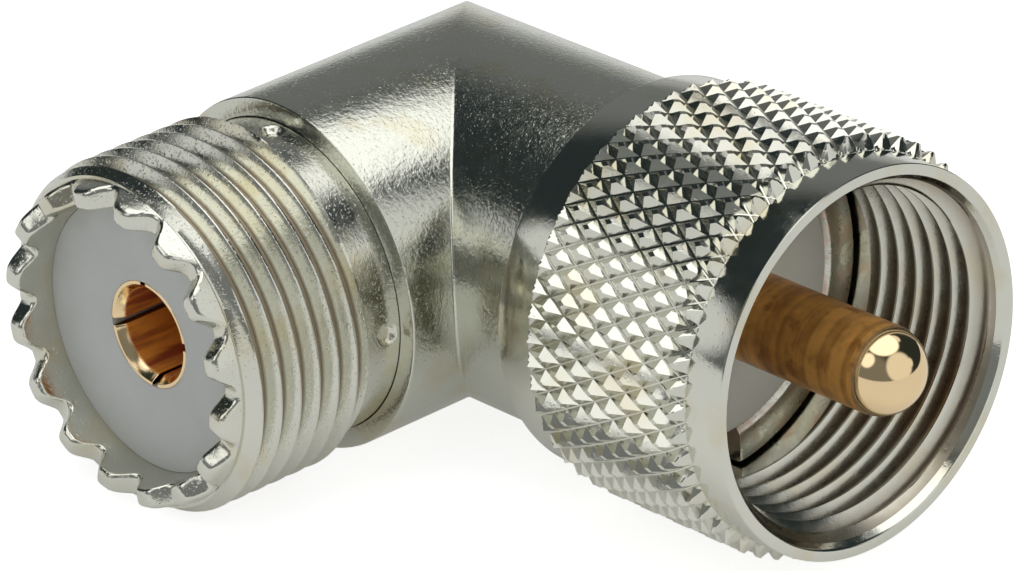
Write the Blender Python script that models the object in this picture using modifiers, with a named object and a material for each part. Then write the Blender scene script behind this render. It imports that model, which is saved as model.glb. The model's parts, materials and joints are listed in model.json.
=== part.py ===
"""Right-angle coaxial adapter: a threaded jack and a plug with a knurled coupling nut on a mitred elbow.

The jack points along -Y and the plug along +X of the adapter.
Distances along an arm start where the two axes cross.
"""

import math

import bmesh
import bpy
from mathutils import Matrix, Vector

MM = 0.001

# Fits between pieces
PRESS_GAP = 0.03 * MM
CONTACT_GAP = 0.08 * MM
RUNNING_GAP = 0.15 * MM
RING_GAP = 0.35 * MM
NUT_FLOAT = 0.4 * MM

# The jack's outer thread, which sets every radius outside the contacts
THREAD_RADIUS = 7.94 * MM
THREAD_PITCH = 1.058 * MM
THREAD_CREST = 0.14 * MM
NECK_DROP = 0.79 * MM

# Elbow
ELBOW_RIM = 0.87 * MM
ELBOW_LEDGE = 1.55 * MM
ELBOW_CHAMFER = 0.12 * MM
JACK_ARM = 10.44 * MM
JACK_SOCKET_DEPTH = 1.9 * MM
PLUG_ARM = 12.5 * MM
PLUG_SOCKET_DEPTH = 3.5 * MM

# Jack shell, from the elbow outwards
NECK_LENGTH = 1.91 * MM
THREAD_LENGTH = 6.55 * MM
THREAD_RUN_IN = 0.387 * MM
THREAD_REAR_CHAMFER = 0.45 * MM
THREAD_FRONT_CHAMFER = 0.52 * MM
THREAD_TIP_DROP = 0.44 * MM
CROWN_HEIGHT = 1.08 * MM
THREAD_ROOT_STEP = 0.07 * MM
CROWN_STEP = 0.15 * MM
CROWN_TAPER = 0.15 * MM
JACK_WALL = 1.0 * MM
JACK_MOUTH_STEP = 0.15 * MM
JACK_MOUTH_DEPTH = 0.9 * MM
JACK_STOP_LIP = 0.95 * MM
JACK_STOP_LENGTH = 0.85 * MM

# Teeth of the jack's crown
TEETH = 16
TOOTH_DEPTH = 0.9 * MM
VALLEY_FLOOR_WIDTH = 0.5 * MM
VALLEY_MOUTH_WIDTH = 1.88 * MM

# Punch marks in the neck that hold the jack's insulator
STAKES = 4
STAKE_RADIUS = 0.55 * MM
STAKE_TIP_RADIUS = 0.35 * MM
STAKE_DEPTH = 0.3 * MM
STAKE_SETBACK = 0.71 * MM
STAKE_PHASE = math.radians(-3.0)

# Plug pin, which also sets the bore of the jack's contact
PIN_RADIUS = 1.98 * MM
PIN_REACH = 11.62 * MM
PIN_COLLAR_STEP = 0.72 * MM
PIN_COLLAR_LENGTH = 1.3 * MM
PIN_TAIL = 2.2 * MM
PIN_PLAY = 0.02 * MM

# Jack insulator and contact
JACK_FACE_RECESS = 1.85 * MM
INSULATOR_CHAMFER = 0.12 * MM
CONTACT_WALL = 0.37 * MM
CONTACT_BORE_DEPTH = 10.0 * MM
CONTACT_MOUTH_CHAMFER = 0.28 * MM
CONTACT_MOUTH_DEPTH = 0.45 * MM
CONTACT_RECESS = 0.24 * MM
CONTACT_COLLAR_STEP = 0.53 * MM
CONTACT_COLLAR_LENGTH = 1.5 * MM
CONTACT_SLOTS = 4
CONTACT_SLOT_WIDTH = 0.35 * MM
CONTACT_SLOT_DEPTH = 6.0 * MM
CONTACT_SLOT_PHASE = math.radians(-2.5)
TAIL_RADIUS = 1.15 * MM

# Plug shell
NUT_SEAT_LENGTH = 2.3 * MM
FLANGE_STEP = 0.9 * MM
FLANGE_LENGTH = 1.2 * MM
FLANGE_CHAMFER = 0.08 * MM
PLUG_WALL = 0.9 * MM
COUNTERSINK = 0.4 * MM
PLUG_STOP_LIP = 0.75 * MM
PLUG_STOP_LENGTH = 1.45 * MM
KEY_SLOTS = 2
KEY_SLOT_WIDTH = 1.6 * MM
KEY_SLOT_DEPTH = 0.95 * MM

# Retaining ring, which sits in the nut behind the plug's flange
RING_THICKNESS = 0.8 * MM
RING_GROOVE_DEPTH = 0.4 * MM
RING_SPLIT_WIDTH = 2.0 * MM

# Coupling nut, from its rear face forwards, with walls measured from its bore
NUT_LENGTH = 13.3 * MM
RING_SETBACK = 1.98 * MM
CHAMBER_DEPTH = 5.78 * MM
REAR_BAND_WALL = 0.65 * MM
REAR_BAND_LENGTH = 2.0 * MM
FRONT_BAND_WALL = 0.52 * MM
FRONT_BAND_LENGTH = 1.94 * MM
NUT_EDGE_CHAMFER = 0.1 * MM
NUT_REAR_CHAMFER = 0.18 * MM
NUT_THREAD_DEPTH = 0.54 * MM
NUT_LEAD_STEP = 0.51 * MM
NUT_LEAD_LENGTH = 0.3 * MM
NUT_MOUTH_STEP = 0.32 * MM
NUT_MOUTH_DEPTH = 0.72 * MM

# Diamond knurl: grooves cross on every other point of a grid of rows and columns
KNURL_WALL = 1.15 * MM
KNURL_DEPTH = 0.35 * MM
KNURL_DIAMONDS = 52
KNURL_ROW_PITCH = 0.99 * MM
KNURL_LEAD = 0.11 * MM
KNURL_CHAMFER = 0.6 * MM
KNURL_PHASE = math.radians(5.13)

# Steps around a full turn
BODY_STEPS = 36
CONTACT_STEPS = 32
STAKE_STEPS = 12
BALL_STEPS = 6

# How far cutters run past what they cut, and how near two corners of a cut are joined
OVERCUT = 0.1 * MM
WELD_REACH = 0.004 * MM
SHARP_ANGLE = math.radians(25)

# Radii around the jack arm
SPIGOT_RADIUS = THREAD_RADIUS - NECK_DROP
SOCKET_RADIUS = SPIGOT_RADIUS + PRESS_GAP
ELBOW_RADIUS = SOCKET_RADIUS + ELBOW_RIM
ELBOW_BORE_RADIUS = SPIGOT_RADIUS - ELBOW_LEDGE
THREAD_TIP_RADIUS = THREAD_RADIUS - THREAD_TIP_DROP
CROWN_BASE_RADIUS = THREAD_TIP_RADIUS - CROWN_STEP
CROWN_TIP_RADIUS = CROWN_BASE_RADIUS - CROWN_TAPER
THREAD_ROOT_RADIUS = CROWN_BASE_RADIUS + THREAD_ROOT_STEP
JACK_BORE_RADIUS = SPIGOT_RADIUS - JACK_WALL
JACK_MOUTH_RADIUS = JACK_BORE_RADIUS + JACK_MOUTH_STEP
JACK_STOP_RADIUS = JACK_BORE_RADIUS - JACK_STOP_LIP
CONTACT_BORE_RADIUS = PIN_RADIUS + PIN_PLAY
CONTACT_RADIUS = CONTACT_BORE_RADIUS + CONTACT_WALL
CONTACT_COLLAR_RADIUS = CONTACT_RADIUS + CONTACT_COLLAR_STEP

# Radii around the plug arm
FLANGE_RADIUS = SPIGOT_RADIUS + FLANGE_STEP
PLUG_BORE_RADIUS = SPIGOT_RADIUS - PLUG_WALL
PLUG_STOP_RADIUS = PLUG_BORE_RADIUS - PLUG_STOP_LIP
PIN_COLLAR_RADIUS = PIN_RADIUS + PIN_COLLAR_STEP
NUT_BORE_RADIUS = max(FLANGE_RADIUS, ELBOW_RADIUS) + RUNNING_GAP
RING_GROOVE_RADIUS = NUT_BORE_RADIUS + RING_GROOVE_DEPTH
REAR_BAND_RADIUS = NUT_BORE_RADIUS + REAR_BAND_WALL
FRONT_BAND_RADIUS = NUT_BORE_RADIUS + FRONT_BAND_WALL
KNURL_RADIUS = NUT_BORE_RADIUS + KNURL_WALL
NUT_THREAD_RADIUS = THREAD_RADIUS - NUT_THREAD_DEPTH
NUT_LEAD_RADIUS = NUT_THREAD_RADIUS + NUT_LEAD_STEP
NUT_MOUTH_RADIUS = NUT_LEAD_RADIUS + NUT_MOUTH_STEP

# Places along the jack arm
JACK_SHELL_REAR = JACK_ARM - JACK_SOCKET_DEPTH + PRESS_GAP
THREAD_REAR = JACK_ARM + NECK_LENGTH
THREAD_FRONT = THREAD_REAR + THREAD_LENGTH
CROWN_BASE = THREAD_FRONT + THREAD_FRONT_CHAMFER
JACK_REACH = CROWN_BASE + CROWN_HEIGHT
JACK_STOP = JACK_SHELL_REAR + JACK_STOP_LENGTH
JACK_FACE = JACK_REACH - JACK_FACE_RECESS
CONTACT_FACE = JACK_FACE - CONTACT_RECESS
CONTACT_COLLAR_FRONT = JACK_STOP

# Places along the plug arm
PLUG_SHELL_REAR = PLUG_ARM - PLUG_SOCKET_DEPTH + PRESS_GAP
PLUG_STOP = PLUG_SHELL_REAR + PLUG_STOP_LENGTH
FLANGE_REAR = PLUG_ARM + NUT_SEAT_LENGTH
FLANGE_FACE = FLANGE_REAR + FLANGE_LENGTH
RING_FRONT = FLANGE_REAR - NUT_FLOAT
RING_REAR = RING_FRONT - RING_THICKNESS
NUT_REAR = RING_REAR - RING_SETBACK
NUT_FRONT = NUT_REAR + NUT_LENGTH
KNURL_REAR = NUT_REAR + REAR_BAND_LENGTH
KNURL_FRONT = NUT_FRONT - FRONT_BAND_LENGTH
KNURL_FIRST_ROW = KNURL_REAR + KNURL_LEAD


def clear_scene():
    for obj in list(bpy.data.objects):
        bpy.data.objects.remove(obj)


def new_collection(name):
    collection = bpy.data.collections.new(name)
    bpy.context.scene.collection.children.link(collection)
    return collection


def new_finish(name, colour, metallic, roughness):
    finish = bpy.data.materials.new(name)
    finish.use_nodes = True
    shader = finish.node_tree.nodes["Principled BSDF"]
    shader.inputs["Base Color"].default_value = (*colour, 1.0)
    shader.inputs["Metallic"].default_value = metallic
    shader.inputs["Roughness"].default_value = roughness
    finish.diffuse_color = (*colour, 1.0)
    return finish


def new_frame(name, rotation, parent=None):
    frame = bpy.data.objects.new(name, None)
    frame.rotation_euler = rotation
    frame.parent = parent
    frame.empty_display_size = 5 * MM
    PIECES.objects.link(frame)
    return frame


def new_object(name, mesh, parent, finish):
    """A piece if it has a finish, or else a cutter, which only shows as wires."""
    obj = bpy.data.objects.new(name, mesh)
    obj.parent = parent
    if finish:
        mesh.materials.append(finish)
        PIECES.objects.link(obj)
    else:
        obj.hide_render = True
        obj.display_type = "WIRE"
        CUTTERS.objects.link(obj)
    return obj


def from_bmesh(name, shape, parent, finish=None):
    mesh = bpy.data.meshes.new(name)
    shape.to_mesh(mesh)
    shape.free()
    return new_object(name, mesh, parent, finish)


def settle(obj):
    """Makes what the modifiers give the object's own mesh."""
    bpy.context.view_layer.update()
    graph = bpy.context.evaluated_depsgraph_get()
    shaped = bpy.data.meshes.new_from_object(obj.evaluated_get(graph))
    drawn = obj.data
    obj.modifiers.clear()
    obj.data = shaped
    bpy.data.meshes.remove(drawn)


def turned(name, outline, arm, steps=BODY_STEPS, finish=None, pitch=0.0, turns=1):
    """Turns an outline of (distance along the arm, radius), which runs down its outer side.

    An outline that starts on the axis makes a solid, and any other closes on itself around a bore.
    With a pitch it moves outwards along a right-handed helix for a number of turns.
    """
    points = [(radius, 0.0, distance) for distance, radius in outline]
    sides = [(index, index + 1) for index in range(len(points) - 1)]
    if outline[0][1] > 0:
        sides.append((len(points) - 1, 0))
    mesh = bpy.data.meshes.new(name)
    mesh.from_pydata(points, sides, [])
    obj = new_object(name, mesh, arm, finish)
    turn = obj.modifiers.new("turn", "SCREW")
    turn.axis = "Z"
    turn.angle = math.tau
    turn.steps = steps
    turn.render_steps = steps
    turn.screw_offset = pitch
    turn.iterations = turns
    turn.use_merge_vertices = not pitch
    turn.merge_threshold = 0.001 * MM
    settle(obj)
    if pitch:
        close_ends(obj)
    return obj


def close_ends(obj):
    shape = bmesh.new()
    shape.from_mesh(obj.data)
    bmesh.ops.holes_fill(shape, edges=shape.edges[:])
    bmesh.ops.recalc_face_normals(shape, faces=shape.faces[:])
    shape.to_mesh(obj.data)
    shape.free()


def arc(centre, radius, start, end, steps):
    """Outline points on an arc about a point of the axis; an angle of 90 degrees points along the arm."""
    angles = [start + (end - start) * index / steps for index in range(steps + 1)]
    return [(centre + radius * math.sin(angle), radius * math.cos(angle)) for angle in angles]


def notches(name, arm, angles, radii, levels, widths, taper_radius=None):
    """A cutter with one wedge at each angle around the arm.

    Its inner and outer ends are at the radii, and its floor and mouth at the levels, with those widths.
    With a taper radius the widths hold at that radius and shrink towards the axis.
    """
    shape = bmesh.new()
    for angle in angles:
        corners = bmesh.ops.create_cube(shape, size=1.0)["verts"]
        for corner in corners:
            radius = radii[corner.co.x > 0]
            side = corner.co.z > 0
            taper = radius / taper_radius if taper_radius else 1.0
            corner.co = Vector((radius, corner.co.y * widths[side] * taper, levels[side]))
        bmesh.ops.rotate(shape, verts=corners, cent=(0, 0, 0), matrix=Matrix.Rotation(angle, 3, "Z"))
    return from_bmesh(name, shape, arm)


def around(count, phase=0.0):
    return [phase + math.tau * index / count for index in range(count)]


def cut(piece, *cutters):
    for cutter in cutters:
        step = piece.modifiers.new(cutter.name, "BOOLEAN")
        step.operation = "DIFFERENCE"
        step.object = cutter
    weld = piece.modifiers.new("weld", "WELD")
    weld.merge_threshold = WELD_REACH
    settle(piece)


def mitred_rod(name, radius, jack_end, plug_end, parent, chamfer=0.0, finish=None):
    """A round rod in along the jack arm and out along the plug arm, with the mitre on the plane x = -y."""
    narrow = (radius - chamfer) / radius
    stations = [
        lambda co: (co.x / narrow, chamfer - jack_end, co.z / narrow),
        lambda co: (co.x, -co.x, co.z),
        lambda co: (plug_end - chamfer, co.y, co.z),
        lambda co: (plug_end, co.y * narrow, co.z * narrow),
    ]
    if not chamfer:
        stations = stations[1:3]
    shape = bmesh.new()
    start = Matrix.Translation((0, -jack_end, 0)) @ Matrix.Rotation(math.radians(90), 4, "X")
    bmesh.ops.create_circle(shape, radius=radius * narrow, segments=BODY_STEPS, matrix=start)
    rim = shape.edges[:]
    for station in stations:
        grown = bmesh.ops.extrude_edge_only(shape, edges=rim)["geom"]
        rim = [item for item in grown if isinstance(item, bmesh.types.BMEdge)]
        for corner in {corner for edge in rim for corner in edge.verts}:
            corner.co = station(corner.co)
    bmesh.ops.holes_fill(shape, edges=shape.edges[:])
    bmesh.ops.recalc_face_normals(shape, faces=shape.faces[:])
    return from_bmesh(name, shape, parent, finish)


def elbow_body():
    elbow = mitred_rod("elbow_body", ELBOW_RADIUS, JACK_ARM, PLUG_ARM, ADAPTER, ELBOW_CHAMFER, SATIN_NICKEL)
    bore = mitred_rod("elbow_bore", ELBOW_BORE_RADIUS, JACK_ARM + OVERCUT, PLUG_ARM + OVERCUT, ADAPTER)
    sockets = [
        socket_cutter("jack_socket", JACK_SIDE, JACK_ARM, JACK_SOCKET_DEPTH),
        socket_cutter("plug_socket", PLUG_SIDE, PLUG_ARM, PLUG_SOCKET_DEPTH),
    ]
    cut(elbow, bore, *sockets)
    return elbow


def socket_cutter(name, arm, end, depth):
    top = end + OVERCUT
    floor = end - depth
    return turned(name, [(top, 0), (top, SOCKET_RADIUS), (floor, SOCKET_RADIUS), (floor, 0)], arm)


def jack_shell():
    mouth_floor = JACK_REACH - JACK_MOUTH_DEPTH
    outline = [
        (JACK_REACH, JACK_MOUTH_RADIUS),
        (JACK_REACH, CROWN_TIP_RADIUS),
        (CROWN_BASE, CROWN_BASE_RADIUS),
        (CROWN_BASE, THREAD_TIP_RADIUS),
        (THREAD_FRONT, THREAD_RADIUS),
        (THREAD_REAR + THREAD_REAR_CHAMFER, THREAD_RADIUS),
        (THREAD_REAR, SPIGOT_RADIUS),
        (JACK_SHELL_REAR, SPIGOT_RADIUS),
        (JACK_SHELL_REAR, JACK_STOP_RADIUS),
        (JACK_STOP, JACK_STOP_RADIUS),
        (JACK_STOP, JACK_BORE_RADIUS),
        (mouth_floor, JACK_BORE_RADIUS),
        (mouth_floor + JACK_MOUTH_STEP, JACK_MOUTH_RADIUS),
    ]
    shell = turned("jack_shell", outline, JACK_SIDE, finish=NICKEL)
    cut(shell, tooth_cutter(), stake_cutter(), thread_cutter())
    return shell


def thread_cutter():
    """A helical groove with a sharp root, which passes over the neck and the crown without touching them.

    The part of the groove above the barrel stays half a crest away from its next turn.
    """
    start = THREAD_REAR - THREAD_RUN_IN
    turns = math.ceil((CROWN_BASE + THREAD_PITCH / 2 - start) / THREAD_PITCH)
    flank = (THREAD_RADIUS - THREAD_ROOT_RADIUS) / (THREAD_PITCH - THREAD_CREST)
    width = THREAD_PITCH - THREAD_CREST / 2
    top = THREAD_ROOT_RADIUS + flank * width
    outline = [(start + width / 2, top), (start, THREAD_ROOT_RADIUS), (start - width / 2, top)]
    return turned("thread_groove", outline, JACK_SIDE, pitch=THREAD_PITCH, turns=turns)


def tooth_cutter():
    """Valleys between the crown's teeth, whose mouths keep widening past the tips."""
    slope = (VALLEY_MOUTH_WIDTH - VALLEY_FLOOR_WIDTH) / TOOTH_DEPTH
    return notches(
        "crown_valleys",
        JACK_SIDE,
        around(TEETH),
        radii=(JACK_BORE_RADIUS - OVERCUT, CROWN_BASE_RADIUS + OVERCUT),
        levels=(JACK_REACH - TOOTH_DEPTH, JACK_REACH + OVERCUT),
        widths=(VALLEY_FLOOR_WIDTH, VALLEY_MOUTH_WIDTH + slope * OVERCUT),
        taper_radius=CROWN_TIP_RADIUS,
    )


def stake_cutter():
    shape = bmesh.new()
    height = STAKE_DEPTH + OVERCUT
    slope = (STAKE_RADIUS - STAKE_TIP_RADIUS) / STAKE_DEPTH
    middle = SPIGOT_RADIUS - STAKE_DEPTH + height / 2
    for angle in around(STAKES, STAKE_PHASE):
        place = Matrix.Rotation(angle, 4, "Z") @ Matrix.Translation((middle, 0, JACK_ARM + STAKE_SETBACK))
        bmesh.ops.create_cone(
            shape,
            cap_ends=True,
            segments=STAKE_STEPS,
            radius1=STAKE_TIP_RADIUS,
            radius2=STAKE_TIP_RADIUS + slope * height,
            depth=height,
            matrix=place @ Matrix.Rotation(math.radians(90), 4, "Y"),
        )
    return from_bmesh("stakes", shape, JACK_SIDE)


def insulator(name, front, rear, radius, hole, arm):
    outline = [
        (front, hole),
        (front, radius - INSULATOR_CHAMFER),
        (front - INSULATOR_CHAMFER, radius),
        (rear, radius),
        (rear, hole),
    ]
    return turned(name, outline, arm, finish=DIELECTRIC)


def jack_contact():
    bore_bottom = CONTACT_FACE - CONTACT_BORE_DEPTH
    collar_rear = min(CONTACT_COLLAR_FRONT - CONTACT_COLLAR_LENGTH, bore_bottom - CONTACT_MOUTH_CHAMFER)
    outline = [
        (bore_bottom, 0),
        (bore_bottom, CONTACT_BORE_RADIUS),
        (CONTACT_FACE - CONTACT_MOUTH_DEPTH, CONTACT_BORE_RADIUS),
        (CONTACT_FACE, CONTACT_BORE_RADIUS + CONTACT_MOUTH_CHAMFER),
        (CONTACT_FACE, CONTACT_RADIUS),
        (CONTACT_COLLAR_FRONT, CONTACT_RADIUS),
        (CONTACT_COLLAR_FRONT, CONTACT_COLLAR_RADIUS),
        (collar_rear, CONTACT_COLLAR_RADIUS),
        (collar_rear, TAIL_RADIUS),
        (-PIN_RADIUS, TAIL_RADIUS),
        (-PIN_RADIUS, 0),
    ]
    contact = turned("jack_contact", outline, JACK_SIDE, CONTACT_STEPS, GOLD)
    slots = notches(
        "contact_slots",
        JACK_SIDE,
        around(CONTACT_SLOTS, CONTACT_SLOT_PHASE),
        radii=(CONTACT_BORE_RADIUS - OVERCUT, CONTACT_RADIUS + OVERCUT),
        levels=(CONTACT_FACE - CONTACT_SLOT_DEPTH, CONTACT_FACE + OVERCUT),
        widths=(CONTACT_SLOT_WIDTH, CONTACT_SLOT_WIDTH),
    )
    cut(contact, slots)
    return contact


def plug_shell():
    outline = [
        (FLANGE_FACE, PLUG_BORE_RADIUS + COUNTERSINK),
        (FLANGE_FACE, FLANGE_RADIUS - FLANGE_CHAMFER),
        (FLANGE_FACE - FLANGE_CHAMFER, FLANGE_RADIUS),
        (FLANGE_REAR, FLANGE_RADIUS),
        (FLANGE_REAR, SPIGOT_RADIUS),
        (PLUG_SHELL_REAR, SPIGOT_RADIUS),
        (PLUG_SHELL_REAR, PLUG_STOP_RADIUS),
        (PLUG_STOP, PLUG_STOP_RADIUS),
        (PLUG_STOP, PLUG_BORE_RADIUS),
        (FLANGE_FACE - COUNTERSINK, PLUG_BORE_RADIUS),
    ]
    shell = turned("plug_shell", outline, PLUG_SIDE, finish=NICKEL)
    keys = notches(
        "key_slots",
        PLUG_SIDE,
        around(KEY_SLOTS),
        radii=(PLUG_BORE_RADIUS - OVERCUT, FLANGE_RADIUS + OVERCUT),
        levels=(FLANGE_FACE - KEY_SLOT_DEPTH, FLANGE_FACE + OVERCUT),
        widths=(KEY_SLOT_WIDTH, KEY_SLOT_WIDTH),
    )
    cut(shell, keys)
    return shell


def plug_pin():
    collar_rear = PLUG_STOP - PIN_COLLAR_LENGTH
    ball_centre = FLANGE_FACE + PIN_REACH - PIN_RADIUS
    outline = [
        *arc(ball_centre, PIN_RADIUS, math.radians(90), 0.0, BALL_STEPS),
        (PLUG_STOP, PIN_RADIUS),
        (PLUG_STOP, PIN_COLLAR_RADIUS),
        (collar_rear, PIN_COLLAR_RADIUS),
        (collar_rear, PIN_RADIUS),
        (-PIN_TAIL, PIN_RADIUS),
        (-PIN_TAIL, 0),
    ]
    outline[0] = (ball_centre + PIN_RADIUS, 0)
    pin = turned("plug_pin", outline, PLUG_SIDE, CONTACT_STEPS, GOLD)
    reach = PIN_RADIUS + OVERCUT
    hole_radius = TAIL_RADIUS + PRESS_GAP
    hole = [(reach, 0), (reach, hole_radius), (-reach, hole_radius), (-reach, 0)]
    cut(pin, turned("tail_hole", hole, JACK_SIDE, CONTACT_STEPS))
    return pin


def retaining_ring():
    outer = RING_GROOVE_RADIUS - PRESS_GAP
    inner = SPIGOT_RADIUS + RING_GAP
    outline = [(RING_FRONT, inner), (RING_FRONT, outer), (RING_REAR, outer), (RING_REAR, inner)]
    ring = turned("retaining_ring", outline, PLUG_SIDE, finish=NICKEL)
    split = notches(
        "ring_split",
        PLUG_SIDE,
        [0.0],
        radii=(inner - OVERCUT, outer + OVERCUT),
        levels=(RING_REAR - OVERCUT, RING_FRONT + OVERCUT),
        widths=(RING_SPLIT_WIDTH, RING_SPLIT_WIDTH),
    )
    cut(ring, split)
    return ring


def knurl_rows():
    """Distances of the knurl's grid rows from front to rear; the front chamfer cuts the last diamonds."""
    end = KNURL_FRONT - KNURL_CHAMFER
    count = math.ceil((end - KNURL_FIRST_ROW) / KNURL_ROW_PITCH)
    rows = [KNURL_FIRST_ROW + index * KNURL_ROW_PITCH for index in range(count)]
    return [end, *reversed(rows)]


def knurl_height(distance, angle):
    """How far the pyramids stand above the grooves, from 0 on a groove to 1 on a tip."""
    row = (distance - KNURL_FIRST_ROW) / KNURL_ROW_PITCH
    column = angle * KNURL_DIAMONDS / math.pi
    sides = [(row + column) / 2, (row - column) / 2]
    return 2 * min(abs(side - round(side)) for side in sides)


def press_knurl(nut):
    """Presses the grooves into the turned blank and creases each grid face along the groove across it."""
    shape = bmesh.new()
    shape.from_mesh(nut.data)
    rim = KNURL_RADIUS - KNURL_DEPTH / 100
    knurled = {vert for vert in shape.verts if vert.co.xy.length > rim}
    for vert in knurled:
        height = knurl_height(vert.co.z, math.atan2(vert.co.y, vert.co.x))
        vert.co.xy *= (KNURL_RADIUS - KNURL_DEPTH * (1 - height)) / vert.co.xy.length
    for face in list(shape.faces):
        corners = list(face.verts)
        if len(corners) == 4 and knurled.issuperset(corners):
            low = min((0, 2), (1, 3), key=lambda pair: sum(corners[index].co.xy.length for index in pair))
            bmesh.utils.face_split(face, corners[low[0]], corners[low[1]])
    shape.to_mesh(nut.data)
    shape.free()


def nut_bore():
    mouth_floor = NUT_FRONT - NUT_MOUTH_DEPTH
    chamber_front = NUT_REAR + CHAMBER_DEPTH
    outline = [
        (NUT_FRONT + OVERCUT, 0),
        (NUT_FRONT + OVERCUT, NUT_MOUTH_RADIUS),
        (NUT_FRONT, NUT_MOUTH_RADIUS),
        (mouth_floor, NUT_LEAD_RADIUS),
        (mouth_floor - NUT_LEAD_LENGTH, NUT_THREAD_RADIUS),
        (chamber_front, NUT_THREAD_RADIUS),
        (chamber_front, NUT_BORE_RADIUS),
        (RING_FRONT + PRESS_GAP, NUT_BORE_RADIUS),
        (RING_FRONT + PRESS_GAP, RING_GROOVE_RADIUS),
        (RING_REAR - PRESS_GAP, RING_GROOVE_RADIUS),
        (RING_REAR - PRESS_GAP, NUT_BORE_RADIUS),
        (NUT_REAR + NUT_REAR_CHAMFER, NUT_BORE_RADIUS),
        (NUT_REAR, NUT_BORE_RADIUS + NUT_REAR_CHAMFER),
        (NUT_REAR - OVERCUT, NUT_BORE_RADIUS + NUT_REAR_CHAMFER),
        (NUT_REAR - OVERCUT, 0),
    ]
    return turned("nut_bore", outline, PLUG_SIDE)


def coupling_nut():
    outline = [
        (NUT_FRONT, 0),
        (NUT_FRONT, FRONT_BAND_RADIUS - NUT_EDGE_CHAMFER),
        (NUT_FRONT - NUT_EDGE_CHAMFER, FRONT_BAND_RADIUS),
        (KNURL_FRONT, FRONT_BAND_RADIUS),
        *[(row, KNURL_RADIUS) for row in knurl_rows()],
        (KNURL_REAR, REAR_BAND_RADIUS),
        (NUT_REAR + NUT_REAR_CHAMFER, REAR_BAND_RADIUS),
        (NUT_REAR, REAR_BAND_RADIUS - NUT_REAR_CHAMFER),
        (NUT_REAR, 0),
    ]
    nut = turned("coupling_nut", outline, PLUG_SIDE, 2 * KNURL_DIAMONDS, NICKEL)
    press_knurl(nut)
    nut.rotation_euler.z = KNURL_PHASE
    cut(nut, nut_bore())
    return nut


def rest_tilt():
    """How far the plug end rises when the elbow and the rear edge of the nut's knurl lie on a table."""
    span = math.hypot(KNURL_RADIUS, KNURL_FIRST_ROW)
    return math.acos(ELBOW_RADIUS / span) - math.atan2(KNURL_FIRST_ROW, KNURL_RADIUS)


def set_down(pieces):
    """Puts the world's origin on the table, under the middle of the adapter."""
    bpy.context.view_layer.update()
    points = [piece.matrix_world @ vert.co for piece in pieces for vert in piece.data.vertices]
    low = [min(point[axis] for point in points) for axis in range(3)]
    high = [max(point[axis] for point in points) for axis in range(3)]
    ADAPTER.location = (-(low[0] + high[0]) / 2, -(low[1] + high[1]) / 2, -low[2])


clear_scene()
PIECES = new_collection("coax_adapter")
CUTTERS = new_collection("cutters")

NICKEL = new_finish("nickel", (0.72, 0.71, 0.67), 1.0, 0.2)
SATIN_NICKEL = new_finish("satin_nickel", (0.66, 0.66, 0.62), 1.0, 0.32)
GOLD = new_finish("gold", (0.76, 0.56, 0.33), 1.0, 0.25)
DIELECTRIC = new_finish("dielectric", (0.36, 0.37, 0.35), 0.0, 0.5)

ADAPTER = new_frame("adapter", (0, -rest_tilt(), 0))
JACK_SIDE = new_frame("jack_side", (math.radians(90), 0, 0), ADAPTER)
PLUG_SIDE = new_frame("plug_side", (0, math.radians(90), 0), ADAPTER)

adapter_pieces = [
    elbow_body(),
    jack_shell(),
    insulator(
        "jack_insulator",
        JACK_FACE,
        JACK_STOP + PRESS_GAP,
        JACK_BORE_RADIUS - PRESS_GAP,
        CONTACT_RADIUS + CONTACT_GAP,
        JACK_SIDE,
    ),
    jack_contact(),
    plug_shell(),
    insulator(
        "plug_insulator",
        FLANGE_FACE,
        PLUG_STOP + PRESS_GAP,
        PLUG_BORE_RADIUS - PRESS_GAP,
        PIN_RADIUS + PRESS_GAP,
        PLUG_SIDE,
    ),
    plug_pin(),
    retaining_ring(),
    coupling_nut(),
]
for adapter_piece in adapter_pieces:
    adapter_piece.data.shade_smooth()
    adapter_piece.data.set_sharp_from_angle(angle=SHARP_ANGLE)
set_down(adapter_pieces)
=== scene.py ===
"""The looks of a right-angle coaxial adapter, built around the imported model.

Lengths are in millimetres, in the frames of the two arms. Distances along an arm start where the axes cross.
"""

import json
import math

import bmesh
import bpy
import numpy as np
from mathutils import Matrix, Vector


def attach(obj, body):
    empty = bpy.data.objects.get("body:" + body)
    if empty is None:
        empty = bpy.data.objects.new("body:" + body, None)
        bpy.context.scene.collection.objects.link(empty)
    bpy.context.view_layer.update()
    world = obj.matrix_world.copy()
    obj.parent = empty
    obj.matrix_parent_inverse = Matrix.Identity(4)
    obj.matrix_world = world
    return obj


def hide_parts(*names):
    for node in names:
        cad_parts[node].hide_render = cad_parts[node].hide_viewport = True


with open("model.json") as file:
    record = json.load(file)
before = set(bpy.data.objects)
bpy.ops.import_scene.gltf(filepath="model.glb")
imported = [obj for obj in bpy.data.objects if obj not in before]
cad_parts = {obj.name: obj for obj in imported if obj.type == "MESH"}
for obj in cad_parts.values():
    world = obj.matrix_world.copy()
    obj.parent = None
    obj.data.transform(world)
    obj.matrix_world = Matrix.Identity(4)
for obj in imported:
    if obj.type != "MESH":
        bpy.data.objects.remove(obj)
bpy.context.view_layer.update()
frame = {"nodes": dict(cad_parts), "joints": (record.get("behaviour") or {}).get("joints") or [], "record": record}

MM = 0.001
NODES = frame["nodes"]

# The two arms, from the joint that the nut turns on
SPIN = frame["joints"][0]
CENTRE = Vector(SPIN["pos_m"])
PLUG_AXIS = Vector(SPIN["axis"]).normalized()
JACK_AXIS = Vector((0.0, -1.0, 0.0))
ARM_UP = PLUG_AXIS.cross(-JACK_AXIS)


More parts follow.
